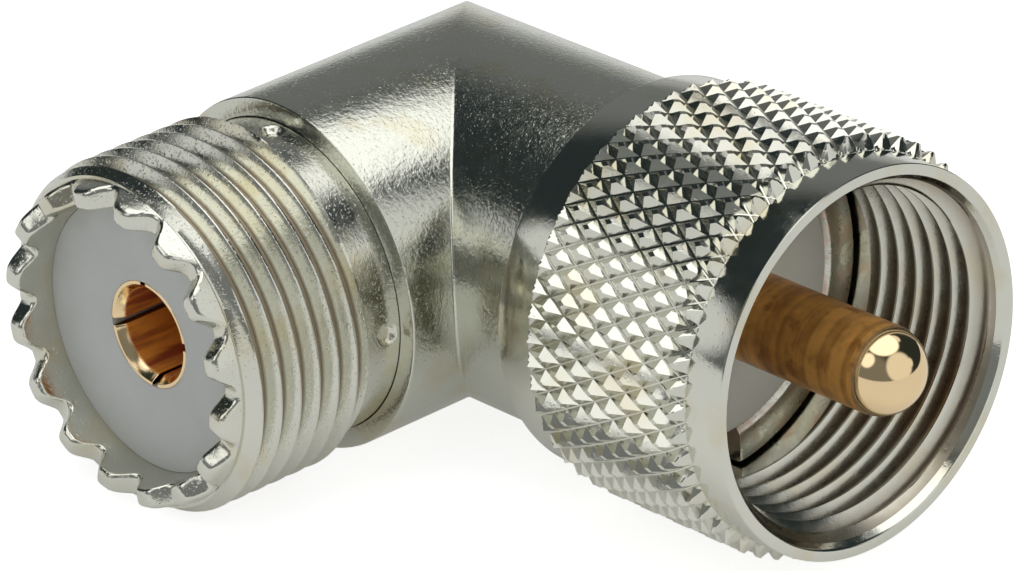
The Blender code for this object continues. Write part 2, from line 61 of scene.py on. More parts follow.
def frame_of(x_axis, y_axis, z_axis):
    """A frame at the crossing of the axes whose unit is a millimetre."""
    turn = Matrix((x_axis, y_axis, z_axis)).transposed().to_4x4()
    return Matrix.Translation(CENTRE) @ turn @ Matrix.Scale(MM, 4)


ELBOW_SIDE = frame_of(PLUG_AXIS, -JACK_AXIS, ARM_UP)
JACK_SIDE = frame_of(PLUG_AXIS, ARM_UP, JACK_AXIS)
PLUG_SIDE = frame_of(-ARM_UP, -JACK_AXIS, PLUG_AXIS)


def points_of(node, side):
    """A CAD node's points in one of the frames."""
    inverse = side.inverted()
    return [inverse @ vert.co for vert in NODES[node].data.vertices]


def turned_points(node, side):
    """Distances along the arm and radii of a CAD node's points."""
    return [(point.z, math.hypot(point.x, point.y)) for point in points_of(node, side)]


def ends(node, side):
    """The distances at which the node starts and ends."""
    distances = [distance for distance, _ in turned_points(node, side)]
    return min(distances), max(distances)


def radii_between(node, side, start, end):
    """The radii of the node's points between two distances."""
    return [radius for distance, radius in turned_points(node, side) if start <= distance <= end]


def widest(node, side, start=-math.inf, end=math.inf):
    """The node's largest radius between two distances."""
    return max(radii_between(node, side, start, end))


def narrowest(node, side, start=-math.inf, end=math.inf):
    """The node's smallest radius between two distances."""
    return min(radii_between(node, side, start, end))


# Camera, as solved from the round edges in the photograph; the angles are in degrees
FRAME_WIDTH = 1024
FRAME_HEIGHT = 571
SENSOR_WIDTH = 36.0
FOCAL_LENGTH = 242.13
CAMERA_DISTANCE = 304.2
CAMERA_AZIMUTH = 48.946
CAMERA_ELEVATION = 25.685
CAMERA_ROLL = -3.264
CROSSING_PIXEL = (468.55, 196.60)

# How far from a piece's end the radius of that end is read
END_REACH = 0.1

# What both threads share
THREAD_PITCH = 1.058
THREAD_CREST = 0.05
THREAD_HALF_ANGLE = math.radians(30)
THREAD_ROOT_ROUNDING = 0.12
THREAD_CREST_ROUNDING = 0.03

# Jack, from the elbow outwards
JACK_REAR, JACK_REACH = ends("jack_shell", JACK_SIDE)
JACK_REAR_EDGE = 0.15
JACK_STOP_THICKNESS = 0.85
JACK_STOP = JACK_REAR + JACK_STOP_THICKNESS
JACK_STOP_RADIUS = 5.2
JACK_BORE_RADIUS = 6.15
JACK_MOUTH_RADIUS = 6.3
JACK_MOUTH_DEPTH = 1.1
JACK_MOUTH_FLOOR = ends("jack_insulator", JACK_SIDE)[1] - 0.1
NECK_RADIUS = widest("jack_shell", JACK_SIDE, JACK_REAR, JACK_REAR + END_REACH)
NECK_ROW_REAR = 10.34
NECK_ROW_FRONT = 12.0
THREAD_RADIUS = widest("jack_shell", JACK_SIDE)
THREAD_REAR = 12.35
THREAD_FRONT = 18.9
THREAD_REAR_CHAMFER = 0.45
THREAD_FRONT_CHAMFER = 0.52
THREAD_TIP_RADIUS = THREAD_RADIUS - 0.44
THREAD_DEPTH = 0.65
THREAD_START = 13.55
GROOVE_END_STEP = 0.03
GROOVE_END_SLOPE = 0.35
CROWN_BASE = THREAD_FRONT + THREAD_FRONT_CHAMFER
CROWN_BASE_RADIUS = THREAD_TIP_RADIUS - 0.15
CROWN_TAPER = 0.15
CROWN_TIP_RADIUS = CROWN_BASE_RADIUS - CROWN_TAPER
CROWN_EDGE = 0.24
TEETH = 16
TOOTH_DEPTH = 0.9
TOOTH_TIP_ROUNDING = 0.34
VALLEY_FLOOR = 0.25
VALLEY_FLOOR_ROUNDING = 0.3
VALLEY_MOUTH = 0.94
STAKES = 4
STAKE_DISTANCE = 11.15
STAKE_RADIUS = 0.57
STAKE_DEPTH = 0.28
STAKE_WALL = 0.45
STAKE_PHASE = math.radians(-3.0)
STAKE_ZONE = 0.65
STAKE_ROW_STEP = 0.06

# Coupling nut
NUT_STEPS = 288
NUT_REAR, NUT_FRONT = ends("coupling_nut", PLUG_SIDE)
NUT_REAR_EDGE = 0.12
NUT_FRONT_EDGE = 0.09
REAR_BAND_LENGTH = 2.0
REAR_BAND_RADIUS = widest("coupling_nut", PLUG_SIDE, NUT_REAR, NUT_REAR + REAR_BAND_LENGTH)
FRONT_BAND_LENGTH = 1.94
FRONT_BAND_RADIUS = widest("coupling_nut", PLUG_SIDE, NUT_FRONT - FRONT_BAND_LENGTH / 2, NUT_FRONT)
KNURL_RADIUS = widest("coupling_nut", PLUG_SIDE)
KNURL_REAR = NUT_REAR + REAR_BAND_LENGTH
KNURL_FRONT = NUT_FRONT - FRONT_BAND_LENGTH
KNURL_FIRST_ROW = KNURL_REAR + 0.11
KNURL_ROW_PITCH = 0.99
KNURL_DEPTH = 0.35
KNURL_CHAMFER = 0.3
KNURL_REAR_CHAMFER = 0.35
KNURL_CHAMFER_STEPS = 8
KNURL_RUN_OUT = 0.9
KNURL_DIAMONDS = 52
KNURL_PHASE = math.radians(5.13)
NUT_BORE_RADIUS = narrowest("coupling_nut", PLUG_SIDE, NUT_REAR, KNURL_REAR)
RING_GROOVE_REAR = NUT_REAR + 1.95
RING_GROOVE_FRONT = NUT_REAR + 2.81
RING_GROOVE_DEPTH = 0.4
CHAMBER_FRONT = NUT_REAR + 5.78
NUT_THREAD_RADIUS = narrowest("coupling_nut", PLUG_SIDE)
NUT_THREAD_DEPTH = 0.72
NUT_THREAD_START = NUT_FRONT - 0.57
NUT_MOUTH_RADIUS = 8.23
NUT_MOUTH_SLOPE = 0.667
NUT_MOUTH_RIM = 0.1
NUT_LEAD_LENGTH = (NUT_MOUTH_RADIUS - NUT_THREAD_RADIUS) / NUT_MOUTH_SLOPE + 0.1


def smooth_min(first, second, reach):
    """The lower of two values, with a rounded change from one to the other."""
    gap = np.maximum(reach - np.abs(first - second), 0.0)
    return np.minimum(first, second) - gap * gap / (4 * reach)


def smooth_max(first, second, reach):
    """The higher of two values, with a rounded change from one to the other."""
    return -smooth_min(-first, -second, reach)


def full_turn(steps):
    """Angles of a whole turn, with its end on its start."""
    return np.linspace(0.0, math.tau, steps + 1)


# Steps of a rounded edge, from one of its sides to the other
EDGE_TURNS = np.linspace(0.0, math.pi / 2, 5)


def around(distances, radii, angles):
    """A grid of points, one row for each distance and one column for each angle."""
    distances, radii, angles = np.broadcast_arrays(distances, radii, angles)
    return np.stack([radii * np.cos(angles), radii * np.sin(angles), distances], axis=-1)


# Largest share of a side that a rounded corner takes
ROUNDING_LIMIT = 0.45


def rounded(outline, edge, steps=3, closed=True):
    """An outline of (distance, radius) whose corners are rounded, all alike or each by its own length."""
    points = [Vector(point) for point in outline]
    last = len(points) - 1
    edges = edge if isinstance(edge, tuple) else (edge,) * len(points)
    result = []
    for index, corner in enumerate(points):
        if not closed and index in (0, last):
            result.append(corner)
            continue
        before = points[index - 1] - corner
        after = points[(index + 1) % len(points)] - corner
        start = corner + before * min(edges[index] / before.length, ROUNDING_LIMIT)
        end = corner + after * min(edges[index] / after.length, ROUNDING_LIMIT)
        for step in range(steps + 1):
            part = step / steps
            result.append(start.lerp(corner, part).lerp(corner.lerp(end, part), part))
    return [tuple(point) for point in result]


def lathe(outline, angles, closed=True):
    """The grid of an outline that is turned around the arm."""
    points = np.array(outline + outline[:1] if closed else outline)
    return around(points[:, :1], points[:, 1:], angles[None, :])


# Distance at which points are welded, and the angle from which an edge is sharp
WELD = 0.0005
SHARP_ANGLE = math.radians(32)


def linked_object(name, data):
    obj = bpy.data.objects.new(name, data)
    bpy.context.scene.collection.objects.link(obj)
    return obj


def mesh_piece(name, grids, side, node, body, finish, add_more=None):
    """One piece from grids of points, welded where they meet."""
    shape = bmesh.new()
    for grid in grids:
        rows, columns = grid.shape[:2]
        verts = [shape.verts.new(point) for point in grid.reshape(-1, 3)]
        for row in range(rows - 1):
            for column in range(columns - 1):
                first = row * columns + column
                corners = (first, first + 1, first + columns + 1, first + columns)
                shape.faces.new([verts[corner] for corner in corners])
    bmesh.ops.remove_doubles(shape, verts=shape.verts[:], dist=WELD)
    if add_more:
        add_more(shape)
    bmesh.ops.recalc_face_normals(shape, faces=shape.faces[:])
    mesh = bpy.data.meshes.new(name)
    shape.to_mesh(mesh)
    shape.free()
    mesh.transform(side)
    obj = linked_object(name, mesh)
    mesh.materials.append(finish)
    mesh.shade_smooth()
    mesh.set_sharp_from_angle(angle=SHARP_ANGLE)
    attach(obj, body)
    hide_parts(node)
    return obj


# Elbow
ELBOW_STEPS = 192
ELBOW_EDGE = 0.12
ELBOW_INNER_EDGE = ELBOW_EDGE / 3
CREASE = 0.12
SOCKET_RADIUS = NECK_RADIUS + 0.03
JACK_SOCKET_DEPTH = 1.9
PLUG_SOCKET_DEPTH = 3.5
ELBOW_BORE_RADIUS = NECK_RADIUS - 1.55


def elbow_arm(end, socket_depth, radius):
    """Outline of one arm from its bore's front end, round its socket and open end, to its outer side."""
    floor = end - socket_depth
    bore_side = (floor - 1.0, ELBOW_BORE_RADIUS)
    outer_side = (end - 1.0, radius)
    corners = [
        (floor, ELBOW_BORE_RADIUS),
        (floor, SOCKET_RADIUS),
        (end, SOCKET_RADIUS),
        (end, radius),
    ]
    edges = (ELBOW_INNER_EDGE,) * 4 + (ELBOW_EDGE,) * 2
    return rounded([bore_side, *corners, outer_side], edges, closed=False)[1:-1]


def elbow_body(finish):
    points = points_of("elbow_body", ELBOW_SIDE)
    radius = max(abs(point.z) for point in points)
    jack_end = -min(point.y for point in points)
    plug_end = max(point.x for point in points)
    angles = full_turn(ELBOW_STEPS)
    rows = []

    def add_row(x, y, z):
        rows.append(np.stack(np.broadcast_arrays(x, y, z), axis=-1))

    def add_jack_row(distance, ring):
        add_row(ring * np.cos(angles), -distance, ring * np.sin(angles))

    def add_plug_row(distance, ring):
        add_row(distance, -ring * np.cos(angles), ring * np.sin(angles))

    add_jack_row(ELBOW_BORE_RADIUS * np.cos(angles), ELBOW_BORE_RADIUS)
    for distance, ring in elbow_arm(jack_end, JACK_SOCKET_DEPTH, radius):
        add_jack_row(distance, ring)
    mitre = radius * np.cos(angles)
    for turn in EDGE_TURNS:
        x = mitre + CREASE * (1 - math.cos(turn))
        y = -mitre - CREASE * (1 - math.sin(turn))
        add_row(x, y, radius * np.sin(angles))
    for distance, ring in reversed(elbow_arm(plug_end, PLUG_SOCKET_DEPTH, radius)):
        add_plug_row(distance, ring)
    add_plug_row(ELBOW_BORE_RADIUS * np.cos(angles), ELBOW_BORE_RADIUS)
    grids = [np.array(rows)]
    mesh_piece("elbow_skin", grids, ELBOW_SIDE, "elbow_body", "housing", finish)


def thread_profile(offset, crest_radius, depth, inward):
    """Radius of a 60 degree thread at an offset along the arm from the middle of its crest."""
    sign = -1.0 if inward else 1.0
    crest = crest_radius * sign
    flank = crest - (np.abs(offset) - THREAD_CREST) / math.tan(THREAD_HALF_ANGLE)
    groove = smooth_max(flank, crest - depth, THREAD_ROOT_ROUNDING)
    return sign * smooth_min(groove, crest, THREAD_CREST_ROUNDING)


# Places along the arm, from a crest's middle, at which a thread's grid has its rows
THREAD_OFFSETS = (-0.44, -0.36, -0.2, -0.09, -0.05, 0.0, 0.05, 0.09, 0.2, 0.36, 0.44, THREAD_PITCH / 2)
FINE_OFFSETS = tuple(np.linspace(-0.5, THREAD_PITCH / 2, 26))


def helix_grid(start, end, first_crest, angles, radius_at, offsets=THREAD_OFFSETS):
    """Rows that follow a right-handed helix; rows that run past either end are pressed onto it."""
    first = math.floor((start - first_crest) / THREAD_PITCH) - 2
    last = math.ceil((end - first_crest) / THREAD_PITCH) + 1
    rows = [turn * THREAD_PITCH + offset for turn in range(first, last + 1) for offset in offsets]
    rise = first_crest + THREAD_PITCH * angles / math.tau
    distances = np.clip(np.array(rows)[:, None] + rise[None, :], start, end)
    inside = (distances > start).any(axis=1) & (distances < end).any(axis=1)
    keep = np.flatnonzero(inside)
    distances = distances[max(keep[0] - 1, 0) : keep[-1] + 2]
    offset = distances - rise[None, :]
    offset = offset - THREAD_PITCH * np.round(offset / THREAD_PITCH)
    return around(distances, radius_at(distances, offset), angles[None, :])


# Places along the crown's rim, from a valley's middle, that gather at the valley's corners
VALLEY_OFFSETS = (
    0.0, 0.12, 0.19, 0.25, 0.31, 0.38, 0.5, 0.62,
    0.74, 0.82, 0.88, 0.94, 1.0, 1.06, 1.14, 1.27,
)


def tooth_angles():
    """Angles of the jack's columns, which gather at the corners of the crown's valleys."""
    pitch = math.tau / TEETH
    half = [offset / CROWN_TIP_RADIUS for offset in VALLEY_OFFSETS]
    valley = half + [pitch / 2] + [pitch - offset for offset in reversed(half[1:])]
    angles = [index * pitch + offset for index in range(TEETH) for offset in valley]
    return np.array(angles + [math.tau])


def crown_height(angles):
    """Distance of the crown's edge at each angle."""
    pitch = math.tau / TEETH
    offset = np.abs(angles - pitch * np.round(angles / pitch)) * CROWN_TIP_RADIUS
    slope = TOOTH_DEPTH / (VALLEY_MOUTH - VALLEY_FLOOR)
    flank = slope * (offset - VALLEY_MOUTH)
    valley = smooth_max(flank, -TOOTH_DEPTH, VALLEY_FLOOR_ROUNDING)
    return JACK_REACH + smooth_min(valley, 0.0, TOOTH_TIP_ROUNDING)


def crown_radius(distance):
    return CROWN_BASE_RADIUS - CROWN_TAPER * (distance - CROWN_BASE) / (JACK_REACH - CROWN_BASE)


def crown_grid(angles):
    """The crown from its base, over its rounded edge, and down the inside of the mouth."""
    height = crown_height(angles)
    outer = crown_radius(height)
    bends = [(CROWN_EDGE * (1 - math.sin(turn)), CROWN_EDGE * (1 - math.cos(turn))) for turn in EDGE_TURNS]
    rows = [(CROWN_BASE, CROWN_BASE_RADIUS)]
    for part in (0.35, 0.7, 1.0):
        distance = CROWN_BASE + part * (height - CROWN_EDGE - CROWN_BASE)
        rows.append((distance, crown_radius(distance)))
    rows += [(height - drop, outer - inset) for drop, inset in bends[1:]]
    rows += [(height - drop, JACK_MOUTH_RADIUS + inset) for drop, inset in reversed(bends)]
    rows.append((JACK_REACH - JACK_MOUTH_DEPTH, JACK_MOUTH_RADIUS))
    rows.append((JACK_MOUTH_FLOOR, JACK_BORE_RADIUS))
    return np.stack([around(distance, radius, angles) for distance, radius in rows])


def jack_thread_radius(distances, offset):
    """The jack's thread between its two chamfers, with its groove running out at the crown."""
    radius = thread_profile(offset, THREAD_RADIUS, THREAD_DEPTH, inward=False)
    rise = (THREAD_RADIUS - NECK_RADIUS) / THREAD_REAR_CHAMFER
    fall = (THREAD_RADIUS - THREAD_TIP_RADIUS) / THREAD_FRONT_CHAMFER
    rear = NECK_RADIUS + rise * (distances - THREAD_REAR)
    front = THREAD_TIP_RADIUS + fall * (CROWN_BASE - distances)
    radius = np.minimum(radius, np.minimum(rear, front))
    floor = CROWN_BASE_RADIUS + GROOVE_END_STEP - GROOVE_END_SLOPE * (CROWN_BASE - distances)
    return np.maximum(radius, np.minimum(floor, front))


def neck_grid(angles):
    """The neck with its punch marks."""
    punched = np.arange(STAKE_DISTANCE - STAKE_ZONE, STAKE_DISTANCE + STAKE_ZONE, STAKE_ROW_STEP)
    behind = [JACK_REAR + JACK_REAR_EDGE, NECK_ROW_REAR]
    rows = np.concatenate([behind, punched, [NECK_ROW_FRONT, THREAD_REAR]])
    distances, turns = np.meshgrid(rows, angles, indexing="ij")
    depth = np.zeros_like(distances)
    for index in range(STAKES):
        middle = STAKE_PHASE + math.tau * index / STAKES
        across = (np.mod(turns - middle + math.pi, math.tau) - math.pi) * NECK_RADIUS
        reach = np.hypot(across, distances - STAKE_DISTANCE) / STAKE_RADIUS
        bowl = np.clip((1.0 - reach) / STAKE_WALL, 0.0, 1.0)
        depth += STAKE_DEPTH * bowl * bowl * (3 - 2 * bowl)
    return around(distances, NECK_RADIUS - depth, turns)


def jack_shell(finish):
    angles = tooth_angles()
    inside = [
        (JACK_MOUTH_FLOOR, JACK_BORE_RADIUS),
        (JACK_STOP, JACK_BORE_RADIUS),
        (JACK_STOP, JACK_STOP_RADIUS),
        (JACK_REAR, JACK_STOP_RADIUS),
        (JACK_REAR, NECK_RADIUS - JACK_REAR_EDGE),
        (JACK_REAR + JACK_REAR_EDGE, NECK_RADIUS),
    ]
    thread = helix_grid(THREAD_REAR, CROWN_BASE, THREAD_START, angles, jack_thread_radius)
    step = np.stack([thread[-1], around(CROWN_BASE, CROWN_BASE_RADIUS, angles)])
    grids = [neck_grid(angles), thread, step, crown_grid(angles), lathe(inside, angles, closed=False)]
    mesh_piece("jack_barrel", grids, JACK_SIDE, "jack_shell", "housing", finish)


# Insulators: how far a disc is pressed into the wall around it, its dish around the hole and its edges
DISC_STEPS = 160
DISC_PRESS = 0.04
DISC_EDGE = 0.02
DISC_RIM_EDGE = 0.01
DISH_WIDTH = 1.5
DISH_EDGE = 0.6
JACK_DISH = ends("jack_insulator", JACK_SIDE)[1] - ends("jack_contact", JACK_SIDE)[1]
PLUG_DISH = 0.02


def insulator(name, node, side, dish, finish):
    """A turned disc of the dielectric, faintly dished towards its hole."""
    rear, front = ends(node, side)
    outer = widest(node, side) + DISC_PRESS
    hole = narrowest(node, side)
    corners = [(front - dish, hole), (front, hole + DISH_WIDTH), (front, outer), (rear, outer), (rear, hole)]
    outline = rounded(corners, (DISC_EDGE, DISH_EDGE, DISC_RIM_EDGE, DISC_EDGE, DISC_EDGE))
    mesh_piece(name, [lathe(outline, full_turn(DISC_STEPS))], side, node, "housing", finish)


# Jack's contact
CONTACT_STEPS = 96
CONTACT_CLEARANCE = 0.01
CONTACT_EDGE = 0.03
CONTACT_SLOTS = 4
CONTACT_SLOT_WIDTH = 0.35
CONTACT_SLOT_PHASE = math.radians(3.5)
CONTACT_BORE_RADIUS = 2.0
CONTACT_BORE_DEPTH = 10.0
CONTACT_MOUTH_CHAMFER = 0.28
CONTACT_MOUTH_DEPTH = 0.45
CONTACT_COLLAR_LENGTH = 1.5
FINGER_LENGTH = 6.0
FINGER_STEPS = 26


def contact_finger(angle, front, outer):
    """One of the spring fingers between two slots, rounded towards the slots."""
    half_gap = CONTACT_SLOT_WIDTH / 2 / outer
    start = angle + half_gap
    end = angle + math.tau / CONTACT_SLOTS - half_gap
    round_off = [(0.0, 1.0), (0.3, 0.3), (1.0, 0.0)]
    columns = [(start + part * CONTACT_EDGE / outer, inset) for part, inset in round_off]
    columns += [(turn, 0.0) for turn in np.linspace(start, end, FINGER_STEPS)[1:-1]]
    columns += [(end - part * CONTACT_EDGE / outer, inset) for part, inset in reversed(round_off)]
    rows = []
    for turn, inset in columns:
        skin = inset * CONTACT_EDGE
        outline = [
            (front - FINGER_LENGTH, outer - skin),
            (front - skin, outer - skin),
            (front - skin, CONTACT_BORE_RADIUS + CONTACT_MOUTH_CHAMFER + skin),
            (front - CONTACT_MOUTH_DEPTH, CONTACT_BORE_RADIUS + skin),
            (front - FINGER_LENGTH, CONTACT_BORE_RADIUS + skin),
        ]
        points = np.array(rounded(outline, CONTACT_EDGE))
        points = np.vstack([points, points[:1]])
        rows.append(around(points[:, 0], points[:, 1], turn))
    return np.stack(rows)


def jack_contact(finish):
    tail, front = ends("jack_contact", JACK_SIDE)
    outer = narrowest("jack_insulator", JACK_SIDE) - CONTACT_CLEARANCE
    collar = widest("jack_contact", JACK_SIDE)
    tail_radius = widest("jack_contact", JACK_SIDE, tail, tail + END_REACH)
    root = front - FINGER_LENGTH
    floor = front - CONTACT_BORE_DEPTH
    collar_rear = JACK_STOP - CONTACT_COLLAR_LENGTH
    base = [
        (floor, 0.0),
        (floor, CONTACT_BORE_RADIUS),
        (root, CONTACT_BORE_RADIUS),
        (root, outer),
        (JACK_STOP, outer),
        (JACK_STOP, collar),
        (collar_rear, collar),
        (collar_rear, tail_radius),
        (tail, tail_radius),
        (tail, 0.0),
    ]
    phases = [CONTACT_SLOT_PHASE + math.tau * index / CONTACT_SLOTS for index in range(CONTACT_SLOTS)]
    grids = [contact_finger(phase, front, outer) for phase in phases]
    grids.append(lathe(base, full_turn(CONTACT_STEPS), closed=False))
    mesh_piece("jack_socket", grids, JACK_SIDE, "jack_contact", "housing", finish)


# Plug's shell
PLUG_STEPS = 144
FLANGE_FACE = ends("plug_shell", PLUG_SIDE)[1]
FLANGE_THICKNESS = 1.2
FLANGE_MOUTH_RADIUS = 6.65
FLANGE_MOUTH_DEPTH = 0.4
PLUG_BORE_RADIUS = 6.25
PLUG_STOP_RADIUS = 5.5
PLUG_STOP_THICKNESS = 1.45
PLUG_EDGE = 0.08
KEY_SLOT_WIDTH = 1.6
KEY_SLOT_DEPTH = 0.95
KEY_SLOT_MIDDLE = 7.0
KEY_SLOT_LENGTH = 3.0
KEY_SLOT_EDGE = 0.06


def key_slots():
    """The two blocks that the flange's key slots are cut by."""
    blocks = bmesh.new()
    for side in (-1, 1):
        middle = Vector((side * KEY_SLOT_MIDDLE, 0.0, FLANGE_FACE))
        size = (KEY_SLOT_LENGTH, KEY_SLOT_WIDTH, 2 * KEY_SLOT_DEPTH)
        place = PLUG_SIDE @ Matrix.Translation(middle) @ Matrix.Diagonal((*size, 1.0))
        bmesh.ops.create_cube(blocks, size=1.0, matrix=place)
    mesh = bpy.data.meshes.new("key_slots")
    blocks.to_mesh(mesh)
    blocks.free()
    return linked_object("key_slots", mesh)


def settle(obj):
    """Makes what the modifiers give the object's own mesh."""
    bpy.context.view_layer.update()
    graph = bpy.context.evaluated_depsgraph_get()
    shaped = bpy.data.meshes.new_from_object(obj.evaluated_get(graph))
    obj.modifiers.clear()
    obj.data = shaped


def plug_shell(finish):
    rear = ends("plug_shell", PLUG_SIDE)[0]
    flange = widest("plug_shell", PLUG_SIDE)
    outline = [
        (FLANGE_FACE, FLANGE_MOUTH_RADIUS),
        (FLANGE_FACE, flange),
        (FLANGE_FACE - FLANGE_THICKNESS, flange),
        (FLANGE_FACE - FLANGE_THICKNESS, NECK_RADIUS),
        (rear, NECK_RADIUS),
        (rear, PLUG_STOP_RADIUS),
        (rear + PLUG_STOP_THICKNESS, PLUG_STOP_RADIUS),
        (rear + PLUG_STOP_THICKNESS, PLUG_BORE_RADIUS),
        (FLANGE_FACE - FLANGE_MOUTH_DEPTH, PLUG_BORE_RADIUS),
    ]
    grids = [lathe(rounded(outline, PLUG_EDGE, steps=2), full_turn(PLUG_STEPS))]
    shell = mesh_piece("plug_body", grids, PLUG_SIDE, "plug_shell", "housing", finish)
    blocks = key_slots()
    carve = shell.modifiers.new("slots", "BOOLEAN")
    carve.operation = "DIFFERENCE"
    carve.object = blocks
    bevel = shell.modifiers.new("edges", "BEVEL")
    bevel.width = KEY_SLOT_EDGE * MM
    bevel.segments = 2
    bevel.limit_method = "ANGLE"
    bevel.angle_limit = math.radians(60)
    settle(shell)
    bpy.data.objects.remove(blocks)


# Plug's pin
PIN_STEPS = 128
PIN_BALL_STEPS = 24
PIN_REAR, PIN_TIP = ends("plug_pin", PLUG_SIDE)
PIN_RADIUS = widest("plug_pin", PLUG_SIDE, FLANGE_FACE, PIN_TIP)
PIN_BALL_START = PIN_TIP - PIN_RADIUS
PIN_COLLAR_FRONT = FLANGE_FACE - 5.52
PIN_COLLAR_REAR = PIN_COLLAR_FRONT - 1.3


def plug_pin(finish):
    collar = widest("plug_pin", PLUG_SIDE)
    turns = np.linspace(math.pi / 2, 0.0, PIN_BALL_STEPS + 1)[1:]
    ball = [(PIN_BALL_START + PIN_RADIUS * math.sin(turn), PIN_RADIUS * math.cos(turn)) for turn in turns]
    outline = [
        (PIN_TIP, 0.0),
        *ball,
        (FLANGE_FACE, PIN_RADIUS),
        (PIN_COLLAR_FRONT, PIN_RADIUS),
        (PIN_COLLAR_FRONT, collar),
        (PIN_COLLAR_REAR, collar),
        (PIN_COLLAR_REAR, PIN_RADIUS),
        (PIN_REAR, PIN_RADIUS),
        (PIN_REAR, 0.0),
    ]
    grids = [lathe(outline, full_turn(PIN_STEPS), closed=False)]
    mesh_piece("centre_pin", grids, PLUG_SIDE, "plug_pin", "housing", finish)


# Knurl: shares of a diamond's side, from groove to groove, at which its grid lines run, and those at which
# its flank starts and ends
KNURL_LINES = np.array([0.0, 0.035, 0.07, 0.23, 0.385, 0.615, 0.77, 0.93, 0.965, 1.0])
GROOVE_SHARE = 0.035
TIP_SHARE = 0.385


def knurl_height(across, along):
    """How far a diamond stands above its flat grooves, from 0 to 1 on its flat tip."""
    nearest = np.minimum(np.minimum(across, 1 - across), np.minimum(along, 1 - along))
    return np.clip((nearest - GROOVE_SHARE) / (TIP_SHARE - GROOVE_SHARE), 0.0, 1.0)


def diamond_grid(row, column):
    """Points of one diamond whose rearmost corner is at a row and a column of the knurl's grid."""
    across, along = np.meshgrid(KNURL_LINES, KNURL_LINES, indexing="ij")
    distances = KNURL_FIRST_ROW + KNURL_ROW_PITCH * (row + across + along)
    angles = KNURL_PHASE + math.pi / KNURL_DIAMONDS * (column + across - along)
    run_out = np.clip(1 - (KNURL_FRONT - distances) / KNURL_RUN_OUT, 0.0, 1.0)
    depth = KNURL_DEPTH + run_out * (KNURL_RADIUS - KNURL_DEPTH - FRONT_BAND_RADIUS)
    return around(distances, KNURL_RADIUS - depth * (1 - knurl_height(across, along)), angles)


def add_diamond(shape, grid):
    """Adds a diamond's faces, creased along its four ridges."""
    steps = len(KNURL_LINES) - 1
    verts = [[shape.verts.new(point) for point in line] for line in grid]
    for i in range(steps):
        for j in range(steps):
            corners = [verts[i][j], verts[i + 1][j], verts[i + 1][j + 1], verts[i][j + 1]]
            if i == j:
                shape.faces.new((corners[0], corners[1], corners[2]))
                shape.faces.new((corners[0], corners[2], corners[3]))
            elif i + j == steps - 1:
                shape.faces.new((corners[0], corners[1], corners[3]))
                shape.faces.new((corners[1], corners[2], corners[3]))
            else:
                shape.faces.new(corners)


def slice_off(shape, place, outward, clear):
    """Cuts the shape across the arm, and takes off what lies outwards if it is to be cleared."""
    geometry = shape.verts[:] + shape.edges[:] + shape.faces[:]
    plane = {"plane_co": (0, 0, place), "plane_no": (0, 0, outward)}
    bmesh.ops.bisect_plane(shape, geom=geometry, dist=WELD, clear_outer=clear, **plane)


def chamfered(depth, length, band):
    """The largest radius that the chamfer leaves at a depth from the knurl's end, where the band starts."""
    return band + (KNURL_RADIUS - band) * depth / length


def trim_knurl(shape):
    """Cuts the knurl off at both ends and chamfers them down to the bands."""
    slice_off(shape, KNURL_REAR, -1.0, True)
    slice_off(shape, KNURL_FRONT, 1.0, True)
    for part in np.linspace(0.0, 1.0, KNURL_CHAMFER_STEPS + 1)[1:]:
        slice_off(shape, KNURL_FRONT - part * KNURL_CHAMFER, 1.0, False)
        slice_off(shape, KNURL_REAR + part * KNURL_REAR_CHAMFER, 1.0, False)
    for vert in shape.verts:
        radius = vert.co.xy.length
        front = chamfered(KNURL_FRONT - vert.co.z, KNURL_CHAMFER, FRONT_BAND_RADIUS)
        rear = chamfered(vert.co.z - KNURL_REAR, KNURL_REAR_CHAMFER, REAR_BAND_RADIUS)
        vert.co.xy *= min(radius, front, rear) / radius


def knurl_mesh():
    """The knurl's own surface, covered with diamonds from end to end."""
    shape = bmesh.new()
    rows = math.ceil((KNURL_FRONT - KNURL_FIRST_ROW) / KNURL_ROW_PITCH)
    for row in range(-1, rows):
        for column in range(2 * KNURL_DIAMONDS):
            if (row + column) % 2 == 0:
                add_diamond(shape, diamond_grid(row, column))
    bmesh.ops.remove_doubles(shape, verts=shape.verts[:], dist=WELD)
    trim_knurl(shape)
    mesh = bpy.data.meshes.new("knurl")
    shape.to_mesh(mesh)
    shape.free()
    return mesh


# How far a rim's points may lie from its distance and from its radius
RIM_DEPTH = 0.002
RIM_REACH = 0.05


def rim_points(shape, distance, radius, taken=()):
    """The open rim's points at a distance and a radius, without those taken, in order around the arm."""
    rim = {vert for edge in shape.edges if edge.is_boundary for vert in edge.verts}
    found = [
        vert
        for vert in rim.difference(taken)
        if abs(vert.co.z - distance) < RIM_DEPTH and abs(vert.co.xy.length - radius) < RIM_REACH
    ]
    return sorted(found, key=lambda vert: math.atan2(vert.co.y, vert.co.x))


def zip_rims(shape, first, second):
    """Fills the flat ring between two rims with triangles, whatever their numbers of points."""
    def turn(ring, index):
        vert = ring[index % len(ring)]
        return math.atan2(vert.co.y, vert.co.x) + math.tau * (index // len(ring))

    i = j = 0
    while i < len(first) or j < len(second):
        take_first = j >= len(second) or (i < len(first) and turn(first, i + 1) < turn(second, j + 1))
        corners = [first[i % len(first)], second[j % len(second)]]
        if take_first:
            corners.append(first[(i + 1) % len(first)])
            i += 1
        else:
            corners.append(second[(j + 1) % len(second)])
            j += 1
        if len(set(corners)) == 3:
            shape.faces.new(corners)


